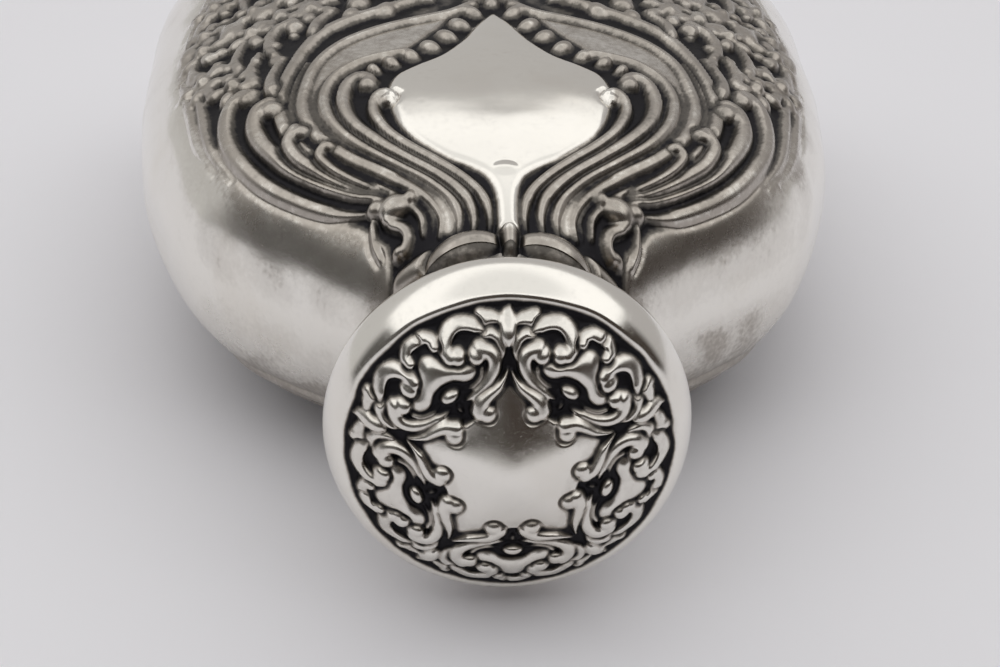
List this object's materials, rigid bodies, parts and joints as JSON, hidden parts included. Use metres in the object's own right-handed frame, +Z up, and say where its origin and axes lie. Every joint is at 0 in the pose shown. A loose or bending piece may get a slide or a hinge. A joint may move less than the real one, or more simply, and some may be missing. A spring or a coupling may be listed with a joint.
{
  "type": "hip flask",
  "caption": "Flat pillow-shaped silver hip flask with raised scroll ornament, a plain shield on its front and a domed screw cap sealed by a cork wafer.",
  "frame": {"origin": "centre of the flask's box in X and Y, at the plane it rests on when it lies on its back", "axes": "+Z up out of the front face with the shield, +Y along the neck axis from the cap toward the base, +X to the right as seen from the cap"},
  "size_m": [0.0888, 0.1342, 0.0432],
  "materials": {
    "silver_front": "hand polished with dark oxidised recesses",
    "silver_back": "hand polished with dark oxidised recesses",
    "silver_base": "hand polished with dark oxidised recesses",
    "silver_collar": "hand polished with dark oxidised recesses",
    "gilt_tube": "gilded, lightly worn",
    "silver_thread": "hand polished with dark oxidised recesses",
    "gilt_mouth": "gilded, lightly worn",
    "silver_cap": "hand polished with dark oxidised recesses",
    "silver_cap_plate": "hand polished with dark oxidised recesses",
    "gilt_cap_thread": "gilded, lightly worn",
    "gilt_seal": "gilded, lightly worn",
    "cork": "cut cork"
  },
  "bodies": {
    "flask": {"front_shell": "silver_front", "back_shell": "silver_back", "base_plate": "silver_base", "neck_collar": "silver_collar", "neck_tube": "gilt_tube", "neck_thread": "silver_thread", "mouth_ring": "gilt_mouth"},
    "cap_seal": {"seal_plate": "gilt_seal", "cork_disc": "cork"},
    "cap": {"cap_dome": "silver_cap", "cap_back_plate": "silver_cap_plate", "cap_thread": "gilt_cap_thread"}
  },
  "joints": [
    {"name": "cap_lift", "type": "slide", "parent": "flask", "child": "cap_seal", "axis": [0, -1, 0], "range_m": [0, 0.0126]},
    {"name": "cap_turn", "type": "hinge", "parent": "cap_seal", "child": "cap", "pos_m": [0, -0.05568, 0.0211], "axis": [0, -1, 0], "range_deg": [0, 1800]}
  ],
  "couplings": [
    {"joint": "cap_lift", "follows": "cap_turn", "m_per_rad": 0.00039789}
  ]
}
